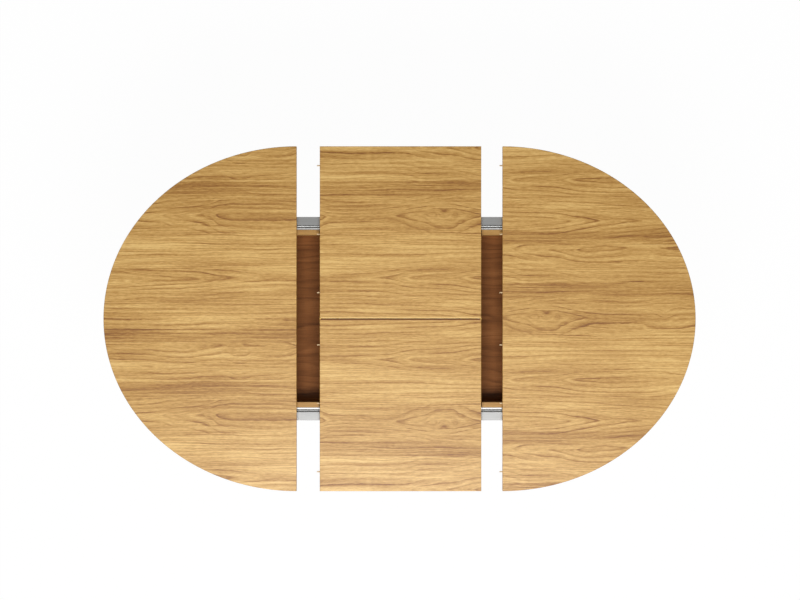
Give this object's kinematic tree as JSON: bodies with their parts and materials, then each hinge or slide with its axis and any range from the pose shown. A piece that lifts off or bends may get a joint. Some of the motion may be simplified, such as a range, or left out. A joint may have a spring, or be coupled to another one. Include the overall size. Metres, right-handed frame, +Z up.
{
  "type": "butterfly leaf table",
  "caption": "Dining table with an elliptical wooden top in sliding halves on aluminium rails, opened over a self-storing folding leaf in a tray.",
  "frame": {"origin": "on the floor, under the middle of the table", "axes": "+X along the table, the way the tops slide; +Y to the back; +Z up"},
  "size_m": [1.834, 1.068, 0.7628],
  "materials": {
    "top_veneer": "satin lacquer, golden brown veneer with straight and cathedral grain along the table",
    "frame_wood": "satin lacquered solid wood",
    "tray_wood": "dark satin veneer",
    "leg_wood": "satin lacquered solid wood",
    "aluminium": "satin extruded profile",
    "steel": "zinc-plated pressed steel",
    "guide_pin_plastic": "pale moulded plastic",
    "nylon": "white nylon",
    "brass": "satin brass",
    "felt": "brown felt",
    "glide_plastic": "dark moulded plastic"
  },
  "bodies": {
    "frame": {"tray_floor": "tray_wood", "corner_blocks": "frame_wood", "side_rail_front": "frame_wood", "side_rail_back": "frame_wood", "slide_rail_front": "aluminium", "slide_rail_back": "aluminium", "end_rail_left": "frame_wood", "end_rail_right": "frame_wood", "leg_front_left": "leg_wood", "leg_front_right": "leg_wood", "leg_back_left": "leg_wood", "leg_back_right": "leg_wood", "frame_bolts": "steel", "slide_screws": "steel", "slide_stops": "steel", "leg_plates": "steel", "leg_studs": "steel", "leg_plate_screws": "steel", "foot_glides": "glide_plastic", "floor_brackets": "steel", "floor_bracket_screws": "steel"},
    "left_top": {"top_left": "top_veneer", "runner_front_left": "aluminium", "runner_back_left": "aluminium", "glide_blocks_left": "nylon", "runner_screws_left": "steel"},
    "right_top": {"top_right": "top_veneer", "runner_front_right": "aluminium", "runner_back_right": "aluminium", "glide_blocks_right": "nylon", "runner_screws_right": "steel", "top_pins_right": "guide_pin_plastic"},
    "swing_front": {"swing_shaft_front": "steel", "swing_arms_front": "steel"},
    "swing_back": {"swing_shaft_back": "steel", "swing_arms_back": "steel"},
    "front_leaf": {"leaf_front": "top_veneer", "leaf_pins_front": "guide_pin_plastic", "leaf_pads_front": "felt", "hinge_plates_front": "brass", "hinge_screws_front": "brass", "hinge_pins": "brass", "leaf_brackets": "steel", "leaf_bracket_screws": "steel", "tip_pins": "steel"},
    "back_leaf": {"leaf_back": "top_veneer", "leaf_pins_back": "guide_pin_plastic", "leaf_pads_back": "felt", "hinge_plates_back": "brass", "hinge_screws_back": "brass"}
  },
  "joints": [
    {"name": "left_top_slide", "type": "slide", "parent": "frame", "child": "left_top", "axis": [-1, 0, 0], "range_m": [-0.0717, 0.017]},
    {"name": "right_top_slide", "type": "slide", "parent": "frame", "child": "right_top", "axis": [1, 0, 0], "range_m": [-0.0657, 0.023]},
    {"name": "leaf_swing", "type": "hinge", "parent": "frame", "child": "swing_front", "pos_m": [0, -0.10518, 0.6748], "axis": [-1, 0, 0], "range_deg": [0, 158.48]},
    {"name": "leaf_carry", "type": "hinge", "parent": "swing_front", "child": "front_leaf", "pos_m": [0, -0.235, 0.726], "axis": [-1, 0, 0], "range_deg": [-158.48, 0]},
    {"name": "back_arm_swing", "type": "hinge", "parent": "frame", "child": "swing_back", "pos_m": [0, 0.05982, 0.6748], "axis": [-1, 0, 0], "range_deg": [0, 158.48]},
    {"name": "leaf_fold", "type": "hinge", "parent": "front_leaf", "child": "back_leaf", "pos_m": [0, 0, 0.76025], "axis": [1, 0, 0], "range_deg": [0, 180]}
  ],
  "couplings": [
    {"joint": "leaf_carry", "follows": "leaf_swing", "ratio": -1},
    {"joint": "back_arm_swing", "follows": "leaf_swing", "ratio": 1},
    {"joint": "leaf_fold", "follows": "leaf_swing", "ratio": 1.1358}
  ]
}
